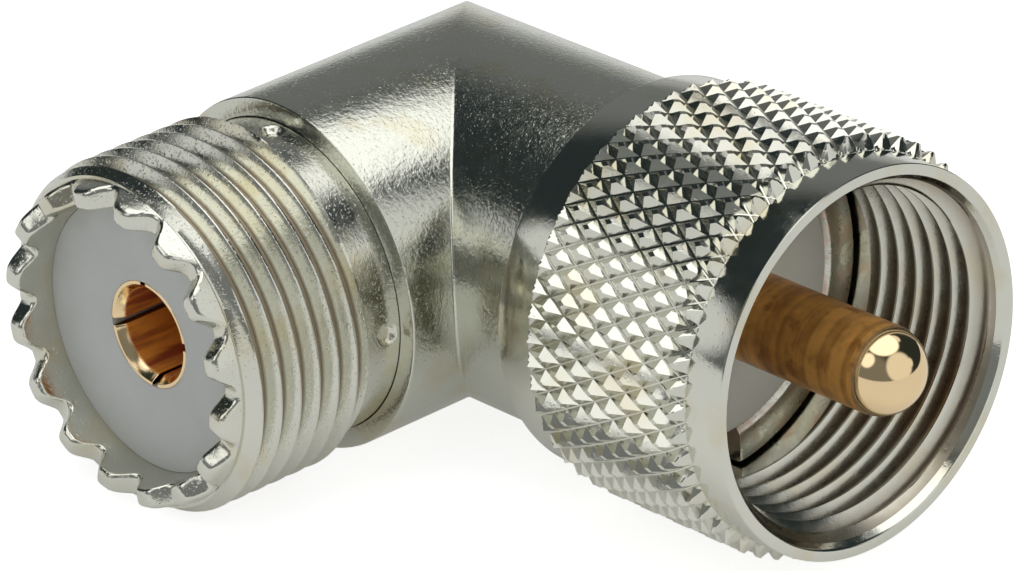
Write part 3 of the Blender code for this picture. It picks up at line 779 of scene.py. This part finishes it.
def add_knurl(shape):
    """Adds the knurl to the open rims of the bands beside it."""
    sides = [(KNURL_REAR, REAR_BAND_RADIUS), (KNURL_FRONT, FRONT_BAND_RADIUS)]
    bands = [rim_points(shape, distance, radius) for distance, radius in sides]
    mesh = knurl_mesh()
    shape.from_mesh(mesh)
    bpy.data.meshes.remove(mesh)
    for (distance, radius), band in zip(sides, bands):
        zip_rims(shape, band, rim_points(shape, distance, radius, taken=band))


def nut_thread_radius(distances, offset):
    """The nut's thread, with its groove running out through the cone of the mouth."""
    radius = thread_profile(offset, NUT_THREAD_RADIUS, NUT_THREAD_DEPTH, inward=True)
    return np.maximum(radius, NUT_MOUTH_RADIUS - NUT_MOUTH_SLOPE * (NUT_FRONT - distances))


def coupling_nut(finish):
    angles = full_turn(NUT_STEPS)
    rim_rear = NUT_FRONT - NUT_MOUTH_RIM
    lead_rear = NUT_FRONT - NUT_LEAD_LENGTH
    thread = helix_grid(CHAMBER_FRONT, lead_rear, NUT_THREAD_START, angles, nut_thread_radius)
    lead = helix_grid(lead_rear, rim_rear, NUT_THREAD_START, angles, nut_thread_radius, FINE_OFFSETS)
    front = [
        (KNURL_FRONT, FRONT_BAND_RADIUS),
        (NUT_FRONT, FRONT_BAND_RADIUS),
        (NUT_FRONT, NUT_MOUTH_RADIUS),
        (rim_rear, NUT_MOUTH_RADIUS - NUT_MOUTH_SLOPE * NUT_MOUTH_RIM),
    ]
    rear = [
        (CHAMBER_FRONT, NUT_BORE_RADIUS),
        (RING_GROOVE_FRONT, NUT_BORE_RADIUS),
        (RING_GROOVE_FRONT, NUT_BORE_RADIUS + RING_GROOVE_DEPTH),
        (RING_GROOVE_REAR, NUT_BORE_RADIUS + RING_GROOVE_DEPTH),
        (RING_GROOVE_REAR, NUT_BORE_RADIUS),
        (NUT_REAR, NUT_BORE_RADIUS),
        (NUT_REAR, REAR_BAND_RADIUS),
        (KNURL_REAR, REAR_BAND_RADIUS),
    ]
    front_rim = lathe(rounded(front, NUT_FRONT_EDGE, closed=False), angles, closed=False)
    rear_rim = lathe(rounded(rear, NUT_REAR_EDGE, closed=False), angles, closed=False)
    thread_end = np.stack([thread[0], rear_rim[0]])
    grids = [front_rim, lead, thread, thread_end, rear_rim]
    mesh_piece("nut_shell", grids, PLUG_SIDE, "coupling_nut", "nut", finish, add_knurl)


# Materials

def new_node(tree, kind, inputs=None, **settings):
    """Adds a node, sets its options, and gives its inputs values or links them to other nodes' outputs."""
    node = tree.nodes.new(kind)
    for name, value in settings.items():
        setattr(node, name, value)
    for key, value in (inputs or {}).items():
        if isinstance(value, bpy.types.NodeSocket):
            tree.links.new(value, node.inputs[key])
        else:
            node.inputs[key].default_value = value
    return node


def math_node(tree, operation, first, second=0.0, third=0.0):
    inputs = {0: first, 1: second, 2: third}
    return new_node(tree, "ShaderNodeMath", inputs, operation=operation).outputs[0]


def vector_node(tree, operation, first, second=(0.0, 0.0, 0.0), output="Vector"):
    return new_node(tree, "ShaderNodeVectorMath", {0: first, 1: second}, operation=operation).outputs[output]


def remap(tree, value, low, high, to_low, to_high, smooth=False):
    """Takes a value from one range to another, and keeps it there."""
    inputs = {"Value": value, "From Min": low, "From Max": high, "To Min": to_low, "To Max": to_high}
    kind = "SMOOTHSTEP" if smooth else "LINEAR"
    return new_node(tree, "ShaderNodeMapRange", inputs, interpolation_type=kind).outputs["Result"]


# A colour mix's own inputs and output among those of every kind of mix
MIX_FACTOR = 0
MIX_FIRST = 6
MIX_SECOND = 7
MIX_RESULT = 2


def mix_colours(tree, amount, first, second):
    inputs = {MIX_FACTOR: amount, MIX_FIRST: first, MIX_SECOND: second}
    return new_node(tree, "ShaderNodeMix", inputs, data_type="RGBA").outputs[MIX_RESULT]


def noise(tree, coordinates, size, detail):
    """Noise whose features are about a size in millimetres."""
    inputs = {"Vector": coordinates, "Scale": 1 / (size * MM), "Detail": detail, "Roughness": 0.55}
    return new_node(tree, "ShaderNodeTexNoise", inputs).outputs["Fac"]


def rings(tree, distance, size):
    """Noise that changes along one distance only."""
    inputs = {"W": distance, "Scale": 1 / (size * MM), "Detail": 3.0, "Roughness": 0.6}
    return new_node(tree, "ShaderNodeTexNoise", inputs, noise_dimensions="1D").outputs["Fac"]


def arm_place(tree, coordinates, axis):
    """Distance along an arm and radius around it, in metres."""
    from_centre = vector_node(tree, "SUBTRACT", coordinates, tuple(CENTRE))
    distance = vector_node(tree, "DOT_PRODUCT", from_centre, tuple(axis), output="Value")
    crossed = vector_node(tree, "CROSS_PRODUCT", from_centre, tuple(axis))
    return distance, vector_node(tree, "LENGTH", crossed, output="Value")


def bump(tree, shader, height):
    """Relief whose height is in micrometres."""
    inputs = {"Strength": 1.0, "Distance": 0.001 * MM, "Height": height}
    tree.links.new(new_node(tree, "ShaderNodeBump", inputs).outputs["Normal"], shader.inputs["Normal"])


def new_material(name):
    material = bpy.data.materials.new(name)
    material.use_nodes = True
    tree = material.node_tree
    shader = tree.nodes["Principled BSDF"]
    coordinates = new_node(tree, "ShaderNodeTexCoord").outputs["Object"]
    return material, tree, shader, coordinates


def colour_of(slot):
    """The slot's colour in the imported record."""
    found = next(item for item in frame["record"]["materials"] if item["slot"] == slot)
    return found["base_color"]


# Nickel: shares of the imported colour where it is clean and faintly tarnished, the flange's tarnish, and the
# painted shade in the threads' grooves with its roughness
NICKEL_TINT = (0.985, 0.995, 0.93)
FAINT_TARNISH = (0.97, 0.93, 0.84)
FLANGE_TARNISH = (0.78, 0.66, 0.55)
# Painted shade in the threads' grooves, and the roughness there
GROOVE_SHADE_COLOUR = (0.3, 0.25, 0.18, 1.0)
GROOVE_SHADE_ROUGHNESS = 0.28

# Where painted shade lies in a thread's grooves: along an arm from near to far, from an unshaded radius to a
# shaded one, as far as a limit
# In the nut, the brownish painted shade also stands for the gold pin's reflection in the thread's roots
NUT_GROOVE_SHADE = {
    "axis": PLUG_AXIS,
    "near": CHAMBER_FRONT,
    "far": NUT_FRONT - 0.35,
    "unshaded": NUT_THREAD_RADIUS - 0.1,
    "shaded": NUT_THREAD_RADIUS + 0.8,
    "limit": 8.3,
}
JACK_GROOVE_SHADE = {
    "axis": JACK_AXIS,
    "near": THREAD_REAR,
    "far": THREAD_FRONT,
    "unshaded": THREAD_RADIUS - 0.48,
    "shaded": THREAD_RADIUS - 0.6,
    "limit": 6.9,
}


def groove_shade_amount(tree, coordinates, axis, near, far, unshaded, shaded, limit):
    """How far a thread's grooves are darkened by painted shade, from 0 to 1."""
    distance, radius = arm_place(tree, coordinates, axis)
    amount = remap(tree, radius, unshaded * MM, shaded * MM, 0.0, 1.0)
    side = "LESS_THAN" if shaded > unshaded else "GREATER_THAN"
    tests = [
        math_node(tree, side, radius, limit * MM),
        math_node(tree, "GREATER_THAN", distance, near * MM),
        math_node(tree, "LESS_THAN", distance, far * MM),
    ]
    for test in tests:
        amount = math_node(tree, "MULTIPLY", amount, test)
    return amount


def nickel(name, slot, roughness, grain, speckle, tarnish=None, tarnish_share=0.5, groove_shade=None):
    """Nickel plate with a fine grain, sparse bright specks, faint tarnish and uneven polish.

    Roughness is a pair; grain and speckle are pairs of a size in millimetres and a depth in micrometres. Groove
    shade, where given, paints shade into a thread's grooves.
    """
    material, tree, shader, coordinates = new_material(name)
    colour = [channel * tint for channel, tint in zip(colour_of(slot), NICKEL_TINT)]
    warm = tarnish or [channel * share for channel, share in zip(colour, FAINT_TARNISH)]
    blotches = noise(tree, coordinates, 1.2 if tarnish else 3.0, 5.0)
    start = 0.6 - 0.2 * tarnish_share
    amount = remap(tree, blotches, start, start + 0.15, 0.0, 1.0, smooth=True)
    plate = mix_colours(tree, amount, (*colour, 1.0), (*warm, 1.0))
    shader.inputs["Metallic"].default_value = 1.0
    polish = remap(tree, noise(tree, coordinates, 0.6, 3.0), 0.3, 0.7, *roughness)
    # Painted shade darkens the thread's grooves towards their roots
    if groove_shade:
        shade_share = groove_shade_amount(tree, coordinates, **groove_shade)
        plate = mix_colours(tree, shade_share, plate, GROOVE_SHADE_COLOUR)
        polish = math_node(tree, "MULTIPLY_ADD", shade_share, GROOVE_SHADE_ROUGHNESS, polish)
    tree.links.new(plate, shader.inputs["Base Color"])
    tree.links.new(polish, shader.inputs["Roughness"])
    fine = math_node(tree, "MULTIPLY", noise(tree, coordinates, grain[0], 4.0), grain[1])
    specks = remap(tree, noise(tree, coordinates, speckle[0], 1.0), 0.6, 0.85, 0.0, speckle[1])
    bump(tree, shader, math_node(tree, "ADD", fine, specks))
    return material


# Gold where it is clean, amber in painted shade on the pin's barrel, in a darker patch on it, and the painted
# light of gold bounced down the socket's bore
BRIGHT_GOLD = (0.92, 0.7, 0.41, 1.0)
AMBER = (0.95, 0.48, 0.12, 1.0)
DARK_AMBER = (0.55, 0.25, 0.06, 1.0)
BARREL_DARK_PATCH = (0.36, 0.13, 0.03, 1.0)
# Painted light: the bore's orange and brown stand in for light bounced between its gold walls
BORE_PAINTED_ORANGE = (1.0, 0.42, 0.07, 1.0)
BORE_PAINTED_BROWN = (0.42, 0.1, 0.04, 1.0)


def pin_gold(name):
    """Gold plate, painted amber and darker along the pin's barrel as painted shade, and bright on its ball."""
    material, tree, shader, coordinates = new_material(name)
    distance, _ = arm_place(tree, coordinates, PLUG_AXIS)
    bright_start = (PIN_BALL_START + 0.05) * MM
    bright_end = (PIN_BALL_START + 0.5) * MM
    on_ball = remap(tree, distance, bright_start, bright_end, 0.0, 1.0, smooth=True)
    clouds = math_node(tree, "ADD", rings(tree, distance, 0.7), noise(tree, coordinates, 1.0, 4.0))
    streaks = remap(tree, clouds, 0.8, 1.2, 0.0, 1.0)
    # Painted shade: the barrel, which reflects the nut's dark inside, is painted amber and darker
    barrel = mix_colours(tree, streaks, AMBER, DARK_AMBER)
    dark_patch = remap(tree, noise(tree, coordinates, 1.4, 5.0), 0.52, 0.66, 0.0, 0.85, smooth=True)
    barrel = mix_colours(tree, dark_patch, barrel, BARREL_DARK_PATCH)
    tree.links.new(mix_colours(tree, on_ball, barrel, BRIGHT_GOLD), shader.inputs["Base Color"])
    tree.links.new(remap(tree, on_ball, 0.0, 1.0, 0.5, 1.0), shader.inputs["Metallic"])
    tree.links.new(remap(tree, on_ball, 0.0, 1.0, 0.34, 0.08), shader.inputs["Roughness"])
    turning = math_node(tree, "MULTIPLY", rings(tree, distance, 0.15), 1.2)
    fade_start = (PIN_BALL_START - 0.8) * MM
    fade_end = (PIN_BALL_START - 0.2) * MM
    fade = remap(tree, distance, fade_start, fade_end, 1.0, 0.03)
    bump(tree, shader, math_node(tree, "MULTIPLY", turning, fade))
    return material


def socket_gold(name):
    """Gold plate, bright on the rim, and down the bore a diffuse deep orange that paints the light bounced between
    its gold walls.
    """
    material, tree, shader, coordinates = new_material(name)
    _, radius = arm_place(tree, coordinates, JACK_AXIS)
    bore_skin = (CONTACT_BORE_RADIUS + 0.01) * MM
    rim_start = (CONTACT_BORE_RADIUS + 0.06) * MM
    inside = remap(tree, radius, bore_skin, rim_start, 1.0, 0.0)
    along_bore = noise(tree, vector_node(tree, "MULTIPLY", coordinates, (1.0, 0.12, 1.0)), 0.7, 3.0)
    streaks = remap(tree, along_bore, 0.42, 0.58, 0.0, 1.0)
    # Painted light of the gold bounced down the bore
    bore = mix_colours(tree, streaks, BORE_PAINTED_ORANGE, BORE_PAINTED_BROWN)
    tree.links.new(mix_colours(tree, inside, BRIGHT_GOLD, bore), shader.inputs["Base Color"])
    tree.links.new(remap(tree, inside, 0.0, 1.0, 1.0, 0.1), shader.inputs["Metallic"])
    tree.links.new(remap(tree, inside, 0.0, 1.0, 0.12, 0.3), shader.inputs["Roughness"])
    bump(tree, shader, math_node(tree, "MULTIPLY", noise(tree, coordinates, 0.15, 2.0), 2.0))
    return material


# The imported colour is the plastic's look in the shade of its shell; the plug's disc lies deeper, and the rest of
# its larger lift is painted light
JACK_PLASTIC_LIFT = (1.42, 1.42, 1.38)
PLUG_PLASTIC_LIFT_AND_PAINTED_LIGHT = (1.98, 1.92, 1.68)


def dielectric(name, axis, lift):
    """Grey plastic with faint rings left by facing it on a lathe."""
    material, tree, shader, coordinates = new_material(name)
    colour = [channel * share for channel, share in zip(colour_of("dielectric"), lift)]
    darker = [channel * 0.93 for channel in colour]
    shade = remap(tree, noise(tree, coordinates, 2.5, 4.0), 0.3, 0.7, 0.0, 1.0)
    tree.links.new(mix_colours(tree, shade, (*colour, 1.0), (*darker, 1.0)), shader.inputs["Base Color"])
    _, radius = arm_place(tree, coordinates, axis)
    bump(tree, shader, math_node(tree, "MULTIPLY", rings(tree, radius, 0.16), 2.5))
    shader.inputs["Roughness"].default_value = 0.42
    shader.inputs["Subsurface Weight"].default_value = 0.35
    shader.inputs["Subsurface Radius"].default_value = (1.0, 1.0, 1.0)
    shader.inputs["Subsurface Scale"].default_value = 0.4 * MM
    return material


# Studio: the floor's radius in metres, its colour, and its added levels in the picture and in reflections
FLOOR_RADIUS = 3.0
FLOOR_COLOUR = (0.8, 0.8, 0.8, 1.0)
FLOOR_LIFT = 0.78
FLOOR_SHINE = 0.2


def build_floor():
    mesh = bpy.data.meshes.new("floor")
    shape = bmesh.new()
    bmesh.ops.create_circle(shape, cap_ends=True, segments=96, radius=FLOOR_RADIUS)
    shape.to_mesh(mesh)
    shape.free()
    floor = linked_object("floor", mesh)
    material = bpy.data.materials.new("floor")
    material.use_nodes = True
    tree = material.node_tree
    tree.nodes.clear()
    paths = new_node(tree, "ShaderNodeLightPath").outputs
    shine = math_node(tree, "MULTIPLY", paths["Is Glossy Ray"], FLOOR_SHINE)
    lift = math_node(tree, "MULTIPLY_ADD", paths["Is Camera Ray"], FLOOR_LIFT, shine)
    diffuse = new_node(tree, "ShaderNodeBsdfDiffuse", {"Color": FLOOR_COLOUR})
    glow = new_node(tree, "ShaderNodeEmission", {"Strength": lift})
    both = new_node(tree, "ShaderNodeAddShader", {0: diffuse.outputs[0], 1: glow.outputs[0]})
    new_node(tree, "ShaderNodeOutputMaterial", {"Surface": both.outputs[0]})
    mesh.materials.append(material)


def direction(azimuth, elevation):
    """Where two angles in degrees point; azimuth 0 is the jack's side and 90 the plug's."""
    azimuth, elevation = math.radians(azimuth), math.radians(elevation)
    level = math.cos(elevation)
    return (math.sin(azimuth) * level, -math.cos(azimuth) * level, math.sin(elevation))


# Lights and cards around the object: azimuth, elevation, half width in degrees, softness in degrees, level
LIGHTS = [
    (198, 85, 28, 7, 1.9),
    (184, 53, 6, 5, 1.1),
    (128, 20, 7, 5, 1.0),
    (96, 26, 29, 9, 1.0),
    (-4, 42, 13, 8, 1.5),
    (20, 12, 38, 22, 0.22),
    (-45, 12, 8, 8, 0.9),
    (-138, -5, 8, 16, 0.5),
    (-131, 16, 18, 22, 0.2),
]
ROOM_COLOUR = (0.024, 0.033, 0.035, 1.0)


def build_world():
    world = bpy.data.worlds.new("studio")
    bpy.context.scene.world = world
    world.use_nodes = True
    tree = world.node_tree
    tree.nodes.clear()
    toward = new_node(tree, "ShaderNodeTexCoord").outputs["Generated"]
    level = 0.0
    for azimuth, elevation, half_width, softness, brightness in LIGHTS:
        facing = vector_node(tree, "DOT_PRODUCT", toward, direction(azimuth, elevation), output="Value")
        outer = math.cos(math.radians(half_width + softness))
        inner = math.cos(math.radians(half_width))
        amount = remap(tree, facing, outer, inner, 0.0, brightness, smooth=True)
        level = math_node(tree, "MAXIMUM", level, amount)
    camera_ray = new_node(tree, "ShaderNodeLightPath").outputs["Is Camera Ray"]
    level = math_node(tree, "MAXIMUM", level, camera_ray)
    lights = new_node(tree, "ShaderNodeBackground", {"Strength": level})
    room = new_node(tree, "ShaderNodeBackground", {"Color": ROOM_COLOUR})
    both = new_node(tree, "ShaderNodeAddShader", {0: lights.outputs[0], 1: room.outputs[0]})
    new_node(tree, "ShaderNodeOutputWorld", {"Surface": both.outputs[0]})


def build_camera():
    focal_pixels = FOCAL_LENGTH * FRAME_WIDTH / SENSOR_WIDTH
    azimuth = math.radians(CAMERA_AZIMUTH)
    roll = math.radians(CAMERA_ROLL)
    back = Vector(direction(CAMERA_AZIMUTH, CAMERA_ELEVATION))
    level_right = Vector((math.cos(azimuth), math.sin(azimuth), 0.0))
    level_up = back.cross(level_right)
    right = level_right * math.cos(roll) + level_up * math.sin(roll)
    up = level_up * math.cos(roll) - level_right * math.sin(roll)
    aside = (CROSSING_PIXEL[0] - FRAME_WIDTH / 2) / focal_pixels * CAMERA_DISTANCE
    above = (FRAME_HEIGHT / 2 - CROSSING_PIXEL[1]) / focal_pixels * CAMERA_DISTANCE
    place = back * CAMERA_DISTANCE - right * aside - up * above
    turn = Matrix((right, up, back)).transposed().to_4x4()
    camera = bpy.data.cameras.new("camera")
    camera.sensor_width = SENSOR_WIDTH
    camera.lens = FOCAL_LENGTH
    camera.clip_start = 0.01
    camera.clip_end = 20.0
    obj = linked_object("camera", camera)
    adapter_turn = ELBOW_SIDE.to_3x3().normalized().to_4x4()
    obj.matrix_world = Matrix.Translation(ELBOW_SIDE @ place) @ adapter_turn @ turn
    bpy.context.scene.camera = obj


def build_adapter():
    # Both threads get painted shade in their grooves
    bright = nickel("bright_nickel", "nickel", (0.07, 0.16), (0.2, 2.2), (0.18, 2.5), groove_shade=NUT_GROOVE_SHADE)
    barrel = nickel("barrel_nickel", "nickel", (0.11, 0.22), (0.15, 6.0), (0.12, 11.0), groove_shade=JACK_GROOVE_SHADE)
    elbow = nickel("elbow_nickel", "satin_nickel", (0.12, 0.2), (0.26, 17.0), (0.12, 7.0))
    flange = nickel("flange_nickel", "nickel", (0.22, 0.4), (0.2, 9.0), (0.12, 9.0), FLANGE_TARNISH, 0.9)
    pin = pin_gold("pin_gold")
    socket = socket_gold("socket_gold")
    jack_plastic = dielectric("jack_plastic", JACK_AXIS, JACK_PLASTIC_LIFT)
    # The plug's disc is lifted further, as painted light
    plug_plastic = dielectric("plug_plastic", PLUG_AXIS, PLUG_PLASTIC_LIFT_AND_PAINTED_LIGHT)
    elbow_body(elbow)
    jack_shell(barrel)
    insulator("jack_disc", "jack_insulator", JACK_SIDE, JACK_DISH, jack_plastic)
    jack_contact(socket)
    plug_shell(flange)
    insulator("plug_disc", "plug_insulator", PLUG_SIDE, PLUG_DISH, plug_plastic)
    plug_pin(pin)
    coupling_nut(bright)
    NODES["retaining_ring"].material_slots[0].material = bright


build_camera()
build_world()
build_floor()
build_adapter()
bpy.context.scene.view_settings.view_transform = "Standard"
